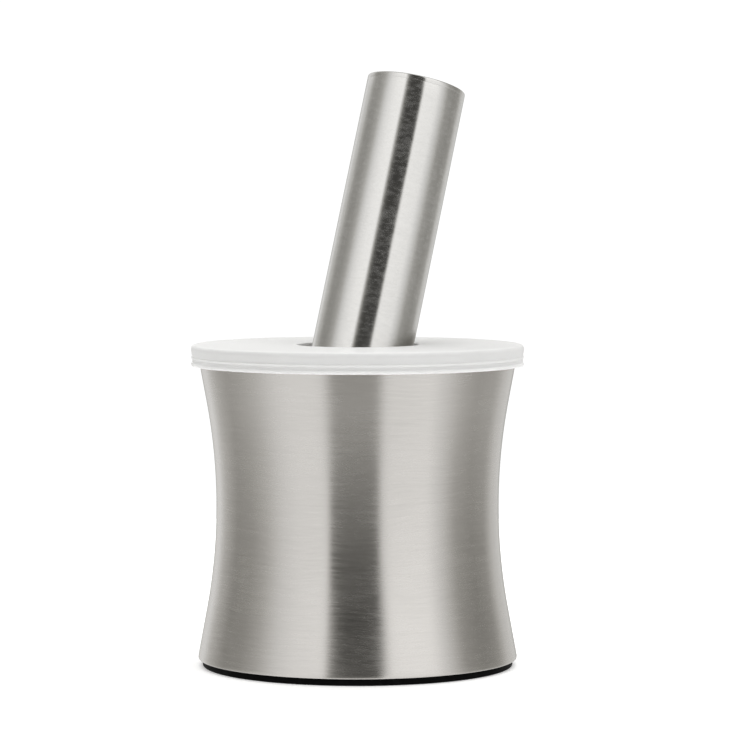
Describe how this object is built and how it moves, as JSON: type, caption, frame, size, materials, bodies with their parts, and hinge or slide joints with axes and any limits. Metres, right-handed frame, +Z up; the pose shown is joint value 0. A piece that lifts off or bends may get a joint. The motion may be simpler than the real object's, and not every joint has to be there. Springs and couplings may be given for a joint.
{
  "type": "mortar and pestle with lid",
  "caption": "Waisted double-walled steel mortar on a rubber foot, with a press-on plastic lid and a round-ended tube pestle for muddling that leans through the lid's central hole.",
  "frame": {"origin": "centre of the foot's lower face, where the mortar stands, on the mortar's axis", "axes": "+Z up along the mortar's axis; the pestle leans towards +X and +Y, at azimuth 42.6 degrees from +X towards +Y"},
  "size_m": [0.1, 0.1, 0.1785],
  "materials": {
    "brushed_shell": "brushed round the axis",
    "satin_bowl": "satin, spun",
    "inner_steel": "plain mill finish, hidden",
    "adhesive": "matt, hidden",
    "black_rubber": "matt",
    "milky_plastic": "milky, translucent, soft gloss",
    "turned_head": "turned, matt grinding face",
    "brushed_tube": "brushed round the axis"
  },
  "bodies": {
    "mortar": {"outer_shell": "brushed_shell", "inner_bowl": "satin_bowl", "base_pan": "inner_steel", "bowl_support": "inner_steel", "foot_adhesive": "adhesive", "foot_pad": "black_rubber"},
    "lid": {"lid": "milky_plastic"},
    "pestle": {"pestle_head": "turned_head", "pestle_tube": "brushed_tube", "pestle_cap": "brushed_tube"}
  },
  "joints": [
    {"name": "lid_lift", "type": "slide", "parent": "mortar", "child": "lid", "axis": [0, 0, 1], "range_m": [0, 0.1]},
    {"name": "pestle_pull", "type": "slide", "parent": "lid", "child": "pestle", "axis": [0.1998, 0.1837, 0.9625], "range_m": [0, 0.11]}
  ]
}
